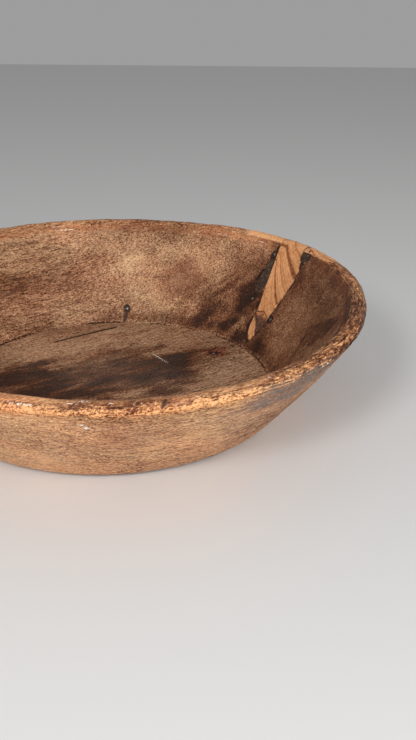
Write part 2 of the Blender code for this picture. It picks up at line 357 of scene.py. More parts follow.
def slip_bar(name, growth):
    """The bar that cuts the rim slip: a box section carried round the lip, its seat rising to nothing."""
    stations = np.array(SLIP)
    fine = np.linspace(stations[0, 0], stations[-1, 0], 60)
    depth, outer = (np.interp(fine, stations[:, 0], stations[:, i]) for i in (1, 2))
    low, near = RIM_HEIGHT - depth - growth, lip_middle[0] + SLIP_INNER_EDGE - growth + 0 * fine
    high, far = RIM_HEIGHT + SLIP_HEADROOM + 0 * fine, lip_middle[0] + outer + growth
    corners = ((near, low), (far, low), (far, high), (near, high))
    return bar(name, np.stack([carve(r, h, np.radians(fine)) for r, h in corners]))


def let_in(name, outline, depth):
    """A piece cut from the uncut block inside an outline, its edges eased, and the cutter of its pocket.

    The piece is smaller than the outline by a joint, and the pocket larger by half a joint.
    """
    eased = ((-CHAMFER * 2, -JOINT), (JUST_OUT, -JOINT - CHAMFER))
    piece = prism(name, outline, ((-depth, -JOINT), *eased, (ABOVE_WALL, -JOINT * 3)))
    joined(piece, "INTERSECT", [uncut])
    pocket = prism(f"{name}_pocket", outline, ((-depth - JOINT, JOINT / 2), (ABOVE_WALL, JOINT / 2)))
    return piece, pocket


wedge, wedge_pocket = let_in("wedge", WEDGE, THROUGH)
tip, tip_pocket = let_in("sliver", TIP, INLAY_DEPTH)
plug, plug_pocket = let_in("red_plug", PLUG, INLAY_DEPTH)
chip_fill, chip_pocket = let_in("chip_filler", LIP_FILLER, INLAY_DEPTH)
seam_fill, seam_pocket = let_in("split_filler", SEAM, SEAM_DEPTH)
slip = joined(slip_bar("rim_slip_piece", 0), "INTERSECT", [uncut])
joined(slip, "DIFFERENCE", [wedge_pocket])
slip_seat = slip_bar("rim_slip_seat", JOINT)
joined(chip_fill, "DIFFERENCE", [slip_seat])

# The nails. Small hand-cut iron nails pin the wedge, the slip and the wood beside the split. Their heads
# are hammered a little below the surface, and two older ones stand in the back wall and in the floor.
HEAD_RADIUS = 0.0017
HEAD_DOME = 0.0005
HEAD_THICKNESS = 0.0009
SHANK_RADIUS = 0.0009
NAIL_LENGTH = 0.0085
NAIL_POINT = 0.0025
HEAD_SUNK = 0.0004
COUNTERSINK_RADIUS = 0.0019
WALL_NAILS = {
    "patch_nail_upper": (41.9, 0.895),
    "patch_nail_lower": (41.3, 0.440),
    "patch_nail_tip": (28.2, 0.340),
    "wall_nail": (90.1, 0.140),
}
FLOOR_NAIL_PLACE = (0.0891, 0.0614)
RIM_NAIL_ANGLE = 30.4
RIM_NAIL_LEAN = 122.0
NAIL_SIDES = 20


def turned(name, profile, middle, axis, dents, seed):
    """A small piece turned about an axis: rings of (radius, height along the axis), closed at both ends.

    Dents move the ring's points in and out by a share of the radius, as hammering does.
    """
    middle, axis = np.array(middle), np.array(axis)
    side = np.array(Vector(axis).orthogonal().normalized())
    across = np.cross(axis, side)
    turn = np.linspace(0, 2 * math.pi, NAIL_SIDES, endpoint=False)
    random = np.random.default_rng(seed)
    profile = np.array(profile)
    uneven = 1 + dents * random.uniform(-1, 1, (len(profile), NAIL_SIDES))
    radius = profile[:, :1] * uneven
    flat = radius[..., None] * (side * np.cos(turn)[:, None] + across * np.sin(turn)[:, None])
    return shell(name, middle + flat + axis * profile[:, 1:, None])


def driven(name, middle, axis, seed):
    """An iron nail with a domed, hammered head, and the cutter for its hole, with a torn countersink."""
    top = -HEAD_SUNK
    dome = np.linspace(0.12, math.pi / 2, 6)
    rim = (HEAD_RADIUS * np.sin(dome)).tolist()
    drop = (HEAD_DOME * (1 - np.cos(dome))).tolist()
    head = [(r, top - d) for r, d in zip(rim, drop)]
    shank = [
        (HEAD_RADIUS * 0.96, top - HEAD_THICKNESS),
        (SHANK_RADIUS, top - HEAD_THICKNESS - 0.0002),
        (SHANK_RADIUS, top - NAIL_LENGTH + NAIL_POINT),
        (SHANK_RADIUS * 0.2, top - NAIL_LENGTH),
    ]
    nail = turned(name, (head + shank)[::-1], middle, axis, 0.05, seed)
    hole = [
        (SHANK_RADIUS * 1.2, top - NAIL_LENGTH - 0.0003),
        (SHANK_RADIUS * 1.2, top - 0.0014),
        (COUNTERSINK_RADIUS, top - 0.0012),
        (COUNTERSINK_RADIUS * 1.02, -0.0003),
        (COUNTERSINK_RADIUS * 1.25, 0.0003),
        (COUNTERSINK_RADIUS * 1.3, 0.002),
    ]
    cutter = turned(f"{name}_hole", hole, middle, axis, 0.06, seed + 1)
    return nail, cutter


def wall_frame(degrees, share):
    """A point on the inner wall and the direction out of the wood there."""
    place = np.array([[degrees, share]])
    middle, out = wall_points(place, 0)[0], wall_points(place, 0.01)[0]
    return middle, (out - middle) / np.linalg.norm(out - middle)


def lip_frame(degrees, lean):
    """A point on the lip and the direction out of it, at a lean from level towards the hollow."""
    way = np.array([math.cos(math.radians(lean)), math.sin(math.radians(lean))])
    near, far = lip_middle + way * LIP_RADIUS, lip_middle + way * LIP_RADIUS * 2
    middle, out = (carve(r, h, np.array(math.radians(degrees))) for r, h in (near, far))
    return middle, (out - middle) / np.linalg.norm(out - middle)


def outside_place(radius, height, degrees):
    """A point of the outside, from the true section's radius and height."""
    return carve(radius, height, math.radians(degrees))


nail_places = {name: wall_frame(*place) for name, place in WALL_NAILS.items()}
nail_places["rim_nail"] = lip_frame(RIM_NAIL_ANGLE, RIM_NAIL_LEAN)
floor_level = FLOOR_HEIGHT - FLOOR_DISH * (1 - np.hypot(*FLOOR_NAIL_PLACE) ** 2 / FLOOR_RADIUS**2)
nail_places["floor_nail"] = (np.array([*FLOOR_NAIL_PLACE, floor_level]), np.array([0.0, 0.0, 1.0]))
nails, holes = {}, {}
for seed, (name, place) in enumerate(nail_places.items()):
    nails[name], holes[name] = driven(f"iron_{name}", *place, seed * 2)
joined(slip, "DIFFERENCE", [holes["rim_nail"]])
joined(chip_fill, "DIFFERENCE", [holes["rim_nail"]])

# The crack in the floor opened along the grain as the block dried. It is a narrow V, deepest in its
# middle, and wavers a little from fibre to fibre.
CRACK = ((-0.0655, 0.0855), (-0.0385, 0.1060), (-0.0105, 0.1245))
CRACK_WIDTH = 0.0016
CRACK_DEPTH = 0.0035
CRACK_STATIONS = 61
CRACK_HEADROOM = 0.004
CRACK_WAVER = 0.0005


def crack_blade(name):
    """The crack as a closed blade: a diamond section that narrows to both ends of a wavering line."""
    share = np.linspace(0, 1, CRACK_STATIONS)
    route = np.stack([np.interp(share, (0, 0.5, 1), [p[i] for p in CRACK]) for i in (0, 1)], axis=1)
    ahead = route[-1] - route[0]
    across = np.array([-ahead[1], ahead[0]]) / np.linalg.norm(ahead)
    fibres = np.random.default_rng(7).normal(size=share.size)
    waver = np.convolve(fibres, np.hanning(9) / 4, mode="same") * CRACK_WAVER
    route = route + across * waver[:, None]
    half = CRACK_WIDTH / 2 * np.sqrt(np.clip(1 - (2 * share - 1) ** 2, 0.004, 1))
    half = half * (1 + 0.35 * np.sin(share * 37) * np.sin(share * 11 + 1))
    surface_level = np.full(CRACK_STATIONS, FLOOR_HEIGHT)
    corners = (
        (route - across * half[:, None], surface_level),
        (route, FLOOR_HEIGHT - CRACK_DEPTH * half / half.max()),
        (route + across * half[:, None], surface_level),
        (route, surface_level + CRACK_HEADROOM),
    )
    return bar(name, np.stack([np.column_stack(corner) for corner in corners]))


pockets = [wedge_pocket, tip_pocket, plug_pocket, chip_pocket, seam_pocket, slip_seat]
cutters = [*pockets, *holes.values(), crack_blade("floor_crack")]
joined(bowl, "DIFFERENCE", cutters)
for cutter in [*cutters, uncut]:
    bpy.data.objects.remove(cutter)


# Old wood. A mid-brown tropical hardwood, oiled and handled for many years. Its pores show as short dark
# dashes along the grain, its growth rings as broad soft streaks, and where the grain ends as dots.
def shade(code):
    """An sRGB colour written as hex digits, as linear red, green, blue and alpha."""
    channels = [int(code[i : i + 2], 16) / 255 for i in (0, 2, 4)]
    return (*[c / 12.92 if c <= 0.04045 else ((c + 0.055) / 1.055) ** 2.4 for c in channels], 1.0)


# The output of a Texture Coordinate node that gives Object coordinates, and of a Mix node that gives a
# colour. The settings are for a smooth step, and for a mix of colours.
OBJECT_PLACE = 3
COLOUR = 2
SMOOTH = {"interpolation_type": "SMOOTHSTEP"}
COLOURS = {"data_type": "RGBA"}


def add(tree, kind, inputs=(), output=0, stops=(), **settings):
    """Adds a shader node, sets it up, and sets or links its inputs, given in order or by key.

    A hex code given to an input is a colour, and stops are a colour ramp's (position, hex code) pairs.
    Returns one of the node's outputs.
    """
    made = tree.nodes.new("ShaderNode" + kind)
    for name, value in settings.items():
        setattr(made, name, value)
    for key, value in inputs.items() if isinstance(inputs, dict) else enumerate(inputs):
        if isinstance(value, bpy.types.NodeSocket):
            tree.links.new(value, made.inputs[key])
        else:
            made.inputs[key].default_value = shade(value) if isinstance(value, str) else value
    if stops:
        elements = made.color_ramp.elements
        for element, (position, code) in zip(elements, (stops[0], stops[-1])):
            element.position, element.color = position, shade(code)
        for position, code in stops[1:-1]:
            elements.new(position).color = shade(code)
    return made.outputs[output]


def vertices_of(piece):
    """The vertices of a piece's mesh as rows."""
    points = np.empty(len(piece.data.vertices) * 3)
    piece.data.vertices.foreach_get("co", points)
    return points.reshape(-1, 3)


def point_layer(piece, name, *values):
    """Stores up to four values between 0 and 1 at each vertex, as a colour attribute."""
    channels = np.zeros((len(piece.data.vertices), 4), np.float32)
    for i, value in enumerate(values):
        channels[:, i] = np.clip(value, 0, 1)
    piece.data.attributes.new(name, "FLOAT_COLOR", "POINT").data.foreach_set("color", channels.ravel())


def layer(tree, name):
    """The four channels of a stored layer."""
    stored = add(tree, "Attribute", attribute_name=name)
    split = add(tree, "SeparateColor", (stored,))
    return (*split.node.outputs, stored.node.outputs["Alpha"])


def grown_noise(tree, size, detail, rough, angle=GRAIN_ANGLE):
    """Noise of about 0 to 1 in the wood's own space; size is a cell's length, width and height in metres."""
    place = add(tree, "TexCoord", output=OBJECT_PLACE)
    grain = add(tree, "Mapping", {0: place, 2: (0, 0, math.radians(-angle))})
    cells = add(tree, "Mapping", {0: grain, 3: tuple(1 / s for s in size)})
    return add(tree, "TexNoise", {0: cells, "Scale": 1.0, "Detail": detail, "Roughness": rough})


def combed_noise(tree, length, width):
    """Noise drawn out round the bowl, as scraping round the outside leaves it."""
    place = add(tree, "TexCoord", output=OBJECT_PLACE)
    level = add(tree, "VectorMath", (place, (1, 1, 0)), operation="MULTIPLY")
    around = add(tree, "VectorMath", (level,), operation="NORMALIZE")
    around = add(tree, "VectorMath", {0: around, "Scale": 0.2 / length}, operation="SCALE")
    up = add(tree, "VectorMath", (place, (0, 0, 1 / width)), operation="MULTIPLY")
    cells = add(tree, "VectorMath", (around, up), operation="ADD")
    out = add(tree, "VectorMath", (level,), 1, operation="LENGTH")
    out = add(tree, "Math", (out, 1 / width), operation="MULTIPLY")
    settings = {"Vector": cells, "W": out, "Scale": 1.0, "Detail": 1.0, "Roughness": 0.6}
    return add(tree, "TexNoise", settings, noise_dimensions="4D")


def swayed(tree, value, pattern, strength):
    """A value moved up and down by a pattern: the pattern less one half, times a strength, is added."""
    swing = add(tree, "Math", (pattern, 0.5), operation="SUBTRACT")
    return add(tree, "Math", (swing, strength, value), operation="MULTIPLY_ADD")


def scaled(tree, value, mask, change, base=1.0):
    """A value times a factor: the factor is the base plus the mask times a change."""
    factor = add(tree, "Math", (mask, change, base), operation="MULTIPLY_ADD")
    return add(tree, "Math", (value, factor), operation="MULTIPLY")


def broken(tree, mask, pattern, strength, low, high, most=1.0):
    """A mask with its edge broken up by a pattern, then a smooth step from 0 at low to most at high."""
    uneven = swayed(tree, mask, pattern, strength)
    return add(tree, "MapRange", (uneven, low, high, 0.0, most), **SMOOTH)


def line_distance(tree, start, end):
    """The distance in metres from the surface to a straight line between two points."""
    start, end = Vector(start), Vector(end)
    way = end - start
    place = add(tree, "TexCoord", output=OBJECT_PLACE)
    from_start = add(tree, "VectorMath", (place, start), operation="SUBTRACT")
    along = (from_start, way / way.length_squared)
    along = add(tree, "VectorMath", along, 1, operation="DOT_PRODUCT")
    held = add(tree, "Clamp", (along,))
    foot = add(tree, "VectorMath", {0: way, "Scale": held}, operation="SCALE")
    gap = add(tree, "VectorMath", (from_start, foot), operation="SUBTRACT")
    return add(tree, "VectorMath", (gap,), 1, operation="LENGTH")


def blot(a, b, centre, size, rough=0.0):
    """A soft oval: 1 in its middle, 0 outside. rough pushes its edge in and out, as a share of its size."""
    reach = np.hypot((a - centre[0]) / size[0], (b - centre[1]) / size[1])
    return ease(reach + rough, 1.45, 0.35)


def outline_distance(turn, share, outline):
    """The distance in metres from places on the wall, as angles and shares, to an outline's nearest side."""
    places = np.stack([turn, share], axis=1) * wall_scale
    starts = np.array(outline) * wall_scale
    ways = np.roll(starts, -1, axis=0) - starts
    gaps = places[:, None] - starts
    t = np.clip((gaps * ways).sum(axis=2) / (ways**2).sum(axis=1), 0, 1)
    return np.linalg.norm(gaps - ways * t[..., None], axis=2).min(axis=1)


points = vertices_of(bowl)
angle, radius, height = true_section(points)
turn = np.degrees(angle)
from_foot = np.stack([radius, height], axis=1) - wall_foot
share = from_foot @ wall_rise / wall_length**2
above_wall = from_foot @ into_hollow
lean = np.degrees(np.arctan2(height - lip_middle[1], radius - lip_middle[0]))
lean = np.where(lean < -90, lean + 360, lean)
from_lip = np.hypot(radius - lip_middle[0], height - lip_middle[1])
on_lip = ease(from_lip, 0.0125, 0.0088)
inside = np.where((above_wall > -0.0065) & (height > 0.008), 1.0, 0.0)
on_floor = inside * ease(share, 0.03, -0.01)
on_wall = inside * (1 - on_floor)
outside = (1 - inside) * ease(height, -0.001, 0.003) * (1 - on_lip * ease(lean, 5, 50))
x, y = points[:, 0] * 1000, points[:, 1] * 1000
ragged = 0.20 * ripple(points, 0.030, 11, (2.2, 1, 1)) + 0.10 * ripple(points, 0.010, 12, (3, 1, 1))

# How dark the wood is, from 0 for pale gold to 1 for nearly black. Ovals of (centre, half size, change)
# lie on the wall in degrees and shares, on the floor in millimetres, and on the outside in degrees and
# metres of height. The wall on the right has darkened all over.
tone = 0.42 + 0.07 * ripple(points, 0.090, 18, (2, 1, 1))
right_wall = ease(turn, 38, 27) * ease(turn, -80, -40) * ease(share, 1.08, 0.97)
tone = tone + on_wall * 0.25 * right_wall + on_floor * 0.08
for centre, size, change in (
    ((125, 0.50), (24, 0.70), 0.09),
    ((72, 0.95), (22, 0.12), 0.06),
    ((75, 0.68), (15, 0.32), -0.16),
    ((85, 0.42), (12, 0.26), -0.11),
    ((100, 0.72), (20, 0.26), -0.03),
    ((71, 0.45), (9, 0.17), 0.24),
    ((52, 0.28), (14, 0.22), 0.30),
    ((46, 0.68), (10, 0.62), 0.24),
    ((40, 0.30), (6, 0.27), 0.27),
    ((47, 0.98), (9, 0.11), -0.16),
    ((12, 0.93), (14, 0.13), -0.10),
    ((58, 0.88), (12, 0.16), 0.02),
    ((60, 0.05), (50, 0.10), 0.25),
    ((122, 0.47), (16, 0.10), 0.14),
    ((140, 0.20), (14, 0.40), 0.10),
    ((-12, 0.80), (9, 0.14), 0.06),
    ((26, 0.82), (7, 0.16), 0.08),
    ((30, 0.12), (9, 0.14), 0.20),
    ((13, 0.38), (11, 0.32), -0.16),
    ((-20, 0.50), (10, 0.40), -0.08),
):
    tone = tone + on_wall * change * blot(turn, share, centre, size, ragged)

# A spill has dried on the right wall with a crisp edge.
spill = blot(turn + 18 * (share - 0.6), share, (-3, 0.62), (7, 0.26), ragged)
tone = tone + on_wall * 0.22 * ease(spill, 0.35, 0.75)

# Stains on the floor. The largest pooled over its middle, and the darkest wood is the most mottled.
for centre, size, change in (
    ((50, 18), (26, 34), 0.02),
    ((-76, -4), (36, 28), 0.40),
    ((-40, -30), (46, 16), 0.40),
    ((76, 40), (36, 36), 0.19),
    ((-60, -100), (70, 40), 0.30),
    ((60, -80), (60, 50), 0.20),
    ((-64, 67), (50, 34), -0.08),
    ((30, 98), (58, 24), -0.06),
    ((84, 8), (24, 24), -0.06),
):
    tone = tone + on_floor * change * blot(x, y, centre, size, ragged)
pool = blot(x, y, (6, 18), (78, 56), 0.5 * ragged)
tone = tone + on_floor * 0.25 * ease(pool, 0.30, 0.70)
tone = tone + on_floor * 0.07 * ease(tone, 0.5, 0.8) * ripple(points, 0.012, 21, (2.5, 1, 1))

# The outside is paler than the inside. The lip is paler on its crown at the front, and dark on the right.
tone = tone - outside * 0.13
tone = tone - on_lip * 0.06 * ease(turn, -64, -84) * ease(lean, 50, 80)
tone = tone + on_lip * 0.30 * ease(turn, -64, -24) * ease(turn, 6, -20)
for centre, size, change in (
    ((-77, 0.060), (8, 0.014), 0.12),
    ((-50, 0.078), (15, 0.017), 0.16),
    ((-33, 0.058), (26, 0.045), 0.16),
    ((-95, 0.030), (30, 0.020), -0.06),
):
    tone = tone + outside * change * blot(turn, height, centre, size, ragged)

# Dirt fills the joints, and the wood is darker along the corner of the floor; iron has blackened the wood
# round each nail.
joints = np.full(len(points), 1.0)
for outline in (WEDGE, TIP, PLUG, LIP_FILLER, SEAM):
    joints = np.minimum(joints, outline_distance(turn, share, outline))
crumbling = 0.55 + 0.45 * ripple(points, 0.007, 13)
reach = 0.0040 + 0.0035 * ease(turn, 31, 37) * ease(share, 0.75, 0.55)
grime = inside * ease(joints / reach, 1.0, 0.1) * np.clip(crumbling, 0.15, 1)
corner = 0.35 + 0.45 * ease(turn, 85, 115) + 0.45 * ripple(points, 0.035, 19)
grime = np.maximum(grime, inside * ease(np.abs(share + 0.004), 0.020, 0.001) * np.clip(corner, 0.1, 0.9))
specks = ease(ripple(points, 0.008, 14), 0.2, 1.0) * blot(x, y, (100, 74), (26, 42))
grime = np.maximum(grime, 0.6 * on_floor * specks)
for name, (middle, _) in nail_places.items():
    away = np.linalg.norm(points - middle, axis=1)
    grime = np.maximum(grime, ease(away, 0.0060, 0.0030))
rust = 0.8 * on_floor * blot(x, y, (90.5, 61.5), (14, 13), ragged)
purple = on_wall * blot(turn, share, (71, 0.45), (9, 0.17), ragged)
purple = np.maximum(purple, 0.5 * outside * blot(turn, height, (-77, 0.060), (9, 0.016), ragged))
grey = outside * blot(turn, height, (-50, 0.078), (14, 0.018), ragged)
grey = np.maximum(grey, 0.25 * on_floor * blot(x, y, (2, 13), (66, 40), ragged))

# Handling and knocks have worn a ragged golden band along the outside of the lip. It climbs to the crown
# on the right and fades out at the back. Beside the wedge the lip has been sanded.
to_right = ease(turn, -64, -24)
band_top = 46 + 92 * to_right + 12 * ripple(points, 0.024, 15) + 6 * ripple(points, 0.006, 16)
band_foot = -34 + 62 * to_right + 14 * ripple(points, 0.020, 20) + 10 * ripple(points, 0.007, 22)
faded = 0.52 + 0.48 * ease(np.cos(angle + 1.5), 0.1, 0.8)
band_edges = ease(lean, band_top + 7, band_top - 7), ease(lean, band_foot - 20, band_foot + 26)
band = faded * np.minimum(*band_edges)
sanded = ease(turn, 58, 49) * ease(turn, 16, 28) * ease(lean, 152, 128) * ease(lean, 15, 55) * on_lip
point_layer(bowl, "tones", tone, grime, purple, rust)
point_layer(bowl, "lip", on_lip, band, sanded, grey)
crown = on_lip * ease(lean, band_top, band_top + 9)
seam_dirt = crown * ease(lean, band_top + 42, band_top + 10) * ease(turn, 5, -30)
below = on_lip * ease(lean, band_foot + 14, band_foot - 4) * ease(lean, -30, 0) * to_right * ease(turn, 30, 5)
seam_dirt = np.maximum(seam_dirt, below)
point_layer(bowl, "sides", outside, on_floor, crown, seam_dirt)

old_wood = bpy.data.materials.new("oiled_old_hardwood")
old_wood.use_nodes = True
tree = old_wood.node_tree
shader = tree.nodes["Principled BSDF"]
shader.inputs["Specular IOR Level"].default_value = 0.25
stored_tone, stored_grime, stored_purple, stored_rust = layer(tree, "tones")
stored_lip, stored_band, stored_sanded, stored_grey = layer(tree, "lip")
stored_outside, stored_floor, stored_crown, stored_seam = layer(tree, "sides")

# Broad streaks of the growth rings, then cloudy staining, then fibres. Real pores are about 0.2 mm wide:
# they are drawn as coarse as they need to be to show.
streaks = grown_noise(tree, (0.110, 0.010, 0.010), 3, 0.55)
clouds = grown_noise(tree, (0.038, 0.022, 0.022), 6, 0.68)
fibres = grown_noise(tree, (0.0160, 0.0014, 0.0014), 2, 0.6)
combed = combed_noise(tree, 0.0100, 0.0013)
rim_fibres = combed_noise(tree, 0.0050, 0.0018)
pores = grown_noise(tree, (0.0055, 0.0013, 0.0013), 1, 0.6)
crumbs = grown_noise(tree, (0.0021, 0.0012, 0.0012), 1, 0.7)
pore = add(tree, "MapRange", (pores, 0.55, 0.66), **SMOOTH)

# The patterns move the stored tone. Scraping has made the outside and the floor more even, and the
# figure is less clear on the sanded and the darkest wood.
even = add(tree, "Math", (stored_outside, -0.6, 1.0), operation="MULTIPLY_ADD")
even = add(tree, "Math", (stored_floor, -0.65, even), operation="MULTIPLY_ADD")
value = stored_tone
for pattern, strength in ((streaks, 0.35), (clouds, 0.38)):
    held = add(tree, "Math", (even, strength), operation="MULTIPLY")
    value = swayed(tree, value, pattern, held)
scraped = add(tree, "Math", (stored_outside, stored_lip), operation="MAXIMUM")
lines = add(tree, "Mix", {0: scraped, 2: fibres, 3: combed})
figure = add(tree, "Math", (pore, 0.17), operation="MULTIPLY")
figure = swayed(tree, figure, lines, 0.85)
figure = swayed(tree, figure, crumbs, 1.12)
clear = add(tree, "MapRange", (stored_tone, 0.35, 0.80, 1.0, 0.78), **SMOOTH)
clear = scaled(tree, clear, stored_sanded, -0.5)
clear = scaled(tree, clear, stored_purple, -0.35, 0.95)
clear = scaled(tree, clear, stored_crown, -0.25)
clear = scaled(tree, clear, stored_outside, 0.25)
value = add(tree, "Math", (figure, clear, value), operation="MULTIPLY_ADD")

# The worn band is broken up by the fibres. Its wood is torn, in crumbs at the front and in longer strips
# towards the right, where the lip runs with the grain.
frayed = swayed(tree, stored_band, rim_fibres, 1.1)
worn = broken(tree, frayed, clouds, 0.95, 0.30, 0.70)
worn = add(tree, "Math", (worn, stored_lip), operation="MULTIPLY")
value = add(tree, "Math", (worn, -0.11, value), operation="MULTIPLY_ADD")
to_side = add(tree, "SeparateXYZ", (add(tree, "TexCoord", output=OBJECT_PLACE),))
to_side = add(tree, "MapRange", (to_side, 0.07, 0.15), **SMOOTH)
strips = add(tree, "Mix", {0: to_side, 2: rim_fibres, 3: combed})
strips_clear = add(tree, "MapRange", (to_side, 0.0, 1.0, 1.0, 1.5), **SMOOTH)
crumbs_clear = add(tree, "MapRange", (to_side, 0.0, 1.0, 0.8, 0.45), **SMOOTH)
torn = swayed(tree, 0.0, strips, strips_clear)
torn = swayed(tree, torn, crumbs, crumbs_clear)
value = add(tree, "Math", (worn, torn, value), operation="MULTIPLY_ADD")

# Dirt darkens the edges of the band and the joints, and sanding has bared pale wood beside the wedge.
edged = broken(tree, stored_seam, rim_fibres, 1.6, 0.30, 0.95)
rubbed = broken(tree, stored_sanded, clouds, 0.9, 0.20, 0.75)
dirt = broken(tree, stored_grime, crumbs, 1.2, 0.25, 0.85)
for mask, change in ((edged, 0.20), (rubbed, -0.62), (dirt, 0.42)):
    value = add(tree, "Math", (mask, change, value), operation="MULTIPLY_ADD")

BROWNS = (
    (0.00, "EBBE93"),
    (0.18, "D1A177"),
    (0.38, "AE8160"),
    (0.58, "865A3D"),
    (0.78, "5D351E"),
    (1.00, "2F190E"),
)
colour = add(tree, "ValToRGB", (value,), stops=BROWNS)

# The brown is a little warmer or cooler from place to place, and then tinted: golden where it is worn,
# warm on the crown and where it is sanded, purple in two stains, and red with rust by the floor nail.
hues = grown_noise(tree, (0.070, 0.030, 0.030), 3, 0.6)
warmth = add(tree, "MapRange", (hues, 0.36, 0.64), **SMOOTH)
tint = add(tree, "Mix", {0: warmth, 6: "FFF5EE", 7: "FAFDF8"}, COLOUR, **COLOURS)
colour = add(tree, "Mix", {0: 1.0, 6: colour, 7: tint}, COLOUR, blend_type="MULTIPLY", **COLOURS)
reddened = broken(tree, stored_rust, clouds, 1.4, 0.25, 0.9)
for mask, strength, code in (
    (worn, 0.46, "FFD8B0"),
    (stored_crown, 0.5, "FFE0C8"),
    (rubbed, 0.9, "FFF0E2"),
    (stored_purple, 0.35, "F0C8C0"),
    (reddened, 0.75, "E07048"),
    (stored_outside, 1.0, "FFFAF2"),
):
    share_of_tint = add(tree, "Math", (mask, strength), operation="MULTIPLY")
    tinting = {0: share_of_tint, 6: colour, 7: code}
    colour = add(tree, "Mix", tinting, COLOUR, blend_type="MULTIPLY", **COLOURS)

# Over the colour lie a grey smear, mostly on the outside, dust dried into the paler wood inside, most of
# all on the floor, and painted highlights: short pale streaks that stand in for glints of light on the
# oiled, polished crown of the lip.
smear = add(tree, "MapRange", (combed, 0.40, 0.58, 0.20, 0.80), **SMOOTH)
smear = add(tree, "Math", (smear, stored_grey), operation="MULTIPLY")
colour = add(tree, "Mix", {0: smear, 6: colour, 7: "7A736C"}, COLOUR, **COLOURS)
paleness = add(tree, "MapRange", (value, 0.35, 0.70, 1.0, 0.0), **SMOOTH)
dusty = scaled(tree, paleness, stored_floor, 0.13, 0.07)
dusty = scaled(tree, dusty, stored_lip, -1.0)
colour = add(tree, "Mix", {0: dusty, 6: colour, 7: "B4A08E"}, COLOUR, **COLOURS)
# Painted highlights: pale streaks in the colour where light would glint on the crown of the lip.
painted_highlight_lines = combed_noise(tree, 0.0130, 0.0011)
painted_highlights = add(tree, "MapRange", (painted_highlight_lines, 0.68, 0.73, 0.0, 0.85), **SMOOTH)
painted_highlights = add(tree, "Math", (painted_highlights, stored_crown), operation="MULTIPLY")
colour = add(tree, "Mix", {0: painted_highlights, 6: colour, 7: "F4E8DA"}, COLOUR, **COLOURS)

# Single marks, as straight strokes of (start, end, width, colour, strength): a dark stroke along the
# floor crack, scratches in the floor, the drip under the wall nail and a scratch high on the wall; then
# painted highlights on the lip and a dark stroke of painted shade for a small chip in it, which is not
# cut; two pale specks outside, and fine dark cracks in the wall.
for start, end, width, code, strength in (
    ((*CRACK[0], 0.0118), (*CRACK[1], 0.0118), 0.0021, "1A100A", 1.0),
    ((*CRACK[1], 0.0118), (*CRACK[2], 0.0118), 0.0021, "1A100A", 1.0),
    ((0.031, 0.060, 0.0116), (0.046, 0.040, 0.0116), 0.0010, "E6DCCB", 0.9),
    ((-0.060, 0.020, 0.0116), (0.000, 0.052, 0.0116), 0.0010, "C9AE90", 0.35),
    ((-0.030, 0.070, 0.0116), (0.030, 0.085, 0.0116), 0.0009, "D0B596", 0.3),
    (wall_frame(90.0, 0.150)[0], wall_frame(90.9, 0.02)[0], 0.0032, "2A1A12", 0.85),
    (wall_frame(112.0, 0.975)[0], wall_frame(107.0, 0.965)[0], 0.0008, "EADFCF", 0.6),
    # Painted highlights: pale strokes that stand in for glints of light on the lip's polished edge and crown.
    (lip_frame(-41.5, -5)[0], lip_frame(-38, -14)[0], 0.0019, "F6ECDC", 0.95),
    (lip_frame(-38, -14)[0], lip_frame(-34.6, -24)[0], 0.0019, "F6ECDC", 0.95),
    (lip_frame(-55.8, 73)[0], lip_frame(-51.5, 75)[0], 0.0007, "F6ECDC", 0.7),
    (lip_frame(-79.8, 60)[0], lip_frame(-77.4, 61)[0], 0.0007, "F6ECDC", 0.8),
    (lip_frame(-90.6, 84)[0], lip_frame(-87.5, 86)[0], 0.0007, "F6ECDC", 0.8),
    (lip_frame(-101.5, 46)[0], lip_frame(-96.5, 42)[0], 0.0008, "F6ECDC", 0.6),
    # Painted shade: a dark stroke that stands in for the shadow inside a small chip of the lip.
    (lip_frame(-75.4, 30)[0], lip_frame(-74.7, 66)[0], 0.0019, "2A1913", 0.9),
    (outside_place(0.2106, 0.0820, -89.1), outside_place(0.2101, 0.0812, -88.8), 0.0017, "FBF4E8", 1.0),
    (outside_place(0.2078, 0.0782, -88.4), outside_place(0.2072, 0.0772, -88.0), 0.0019, "FBF4E8", 1.0),
    (wall_frame(136.0, 0.41)[0], wall_frame(124.0, 0.49)[0], 0.0013, "3A261B", 0.6),
    (wall_frame(123.0, 0.47)[0], wall_frame(110.0, 0.53)[0], 0.0012, "3A261B", 0.6),
    (wall_frame(81.0, 0.46)[0], wall_frame(77.0, 0.48)[0], 0.0011, "3A261B", 0.6),
):
    near = line_distance(tree, start, end)
    mark = broken(tree, near, crumbs, 0.0045, width, width * 0.35, strength)
    colour = add(tree, "Mix", {0: mark, 6: colour, 7: code}, COLOUR, **COLOURS)
tree.links.new(colour, shader.inputs["Base Color"])

# Oil has left the crown of the lip smoother than the rest, and the worn band is dry and rough.
rough = add(tree, "MapRange", (clouds, 0.35, 0.65, 0.42, 0.66), **SMOOTH)
rough = add(tree, "Math", (stored_crown, -0.16, rough), operation="MULTIPLY_ADD")
rough = add(tree, "Math", (worn, 0.12, rough), operation="MULTIPLY_ADD")
tree.links.new(rough, shader.inputs["Roughness"])
relief = add(tree, "Math", (pore, -0.35), operation="MULTIPLY")
relief = add(tree, "Math", (fibres, 0.5, relief), operation="MULTIPLY_ADD")
crumbled = add(tree, "Math", (worn, 0.9, 0.35), operation="MULTIPLY_ADD")
relief = add(tree, "Math", (crumbs, crumbled, relief), operation="MULTIPLY_ADD")
bump = add(tree, "Bump", {"Strength": 0.8, "Distance": 0.0014, "Height": relief})
tree.links.new(bump, shader.inputs["Normal"])


def finished(piece, material, slot, *nodes):
    """Gives a piece its material, soft shading over its round faces, and its place in the model."""
    piece.data.materials.clear()
    piece.data.materials.append(material)
    piece.data.shade_smooth()
    piece.data.set_sharp_from_angle(angle=math.radians(38))
    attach(piece, "root")
    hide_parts(*nodes)


finished(bowl, old_wood, "old_wood", "bowl_body")

